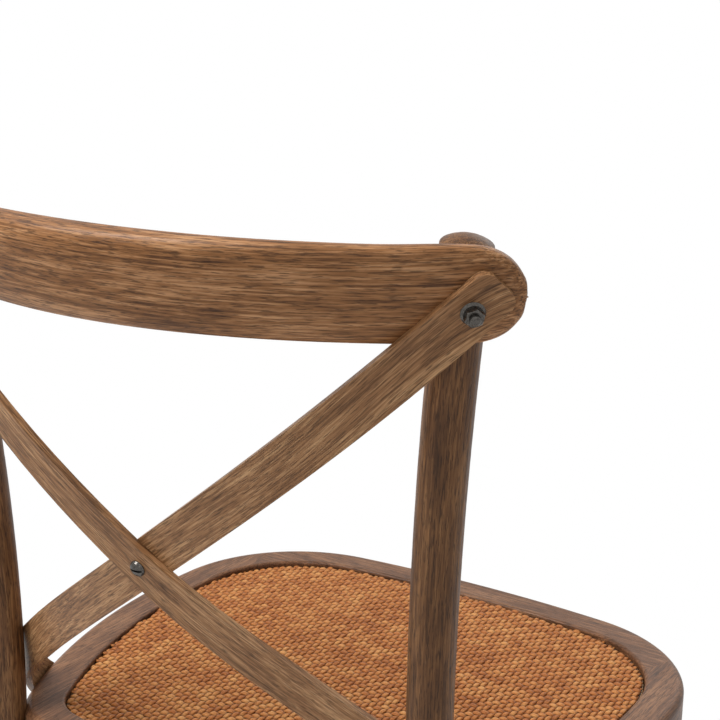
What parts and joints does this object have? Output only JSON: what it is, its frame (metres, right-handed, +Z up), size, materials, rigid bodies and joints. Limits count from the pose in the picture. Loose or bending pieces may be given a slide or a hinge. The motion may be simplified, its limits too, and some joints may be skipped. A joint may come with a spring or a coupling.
{
  "type": "cross back chair",
  "caption": "Dining chair of stained oak with a bowed crest rail, two crossing bent slats as the back, a rounded seat with a woven rattan panel, and bentwood arches under it.",
  "frame": {"origin": "on the floor, under the centre of the bounding box", "axes": "+Z up, the sitter faces -Y, +X to the sitter's left"},
  "size_m": [0.4894, 0.5386, 0.8774],
  "materials": {
    "stained_oak": "satin",
    "beech": "matte",
    "plywood": "matte",
    "rattan": "matte",
    "black_steel": "satin",
    "nylon": "matte"
  },
  "bodies": {
    "root": {"seat_rail_front": "stained_oak", "seat_rail_rear": "stained_oak", "seat_rail_left": "stained_oak", "seat_rail_right": "stained_oak", "seat_dowels": "beech", "seat_board": "plywood", "rattan_panel": "rattan", "rear_leg_left": "stained_oak", "rear_leg_right": "stained_oak", "front_leg_left": "stained_oak", "front_leg_right": "stained_oak", "crest_rail": "stained_oak", "cross_slat_left": "stained_oak", "cross_slat_right": "stained_oak", "crest_bolts": "black_steel", "crest_nuts": "black_steel", "crossing_screw": "black_steel", "crossing_nut": "black_steel", "slat_foot_screws": "black_steel", "leg_bolts": "black_steel", "arch_front": "stained_oak", "arch_rear": "stained_oak", "arch_left": "stained_oak", "arch_right": "stained_oak", "arch_leg_screws": "black_steel", "arch_seat_screws": "black_steel", "board_screws": "black_steel", "leg_glides": "nylon"}
  },
  "joints": []
}
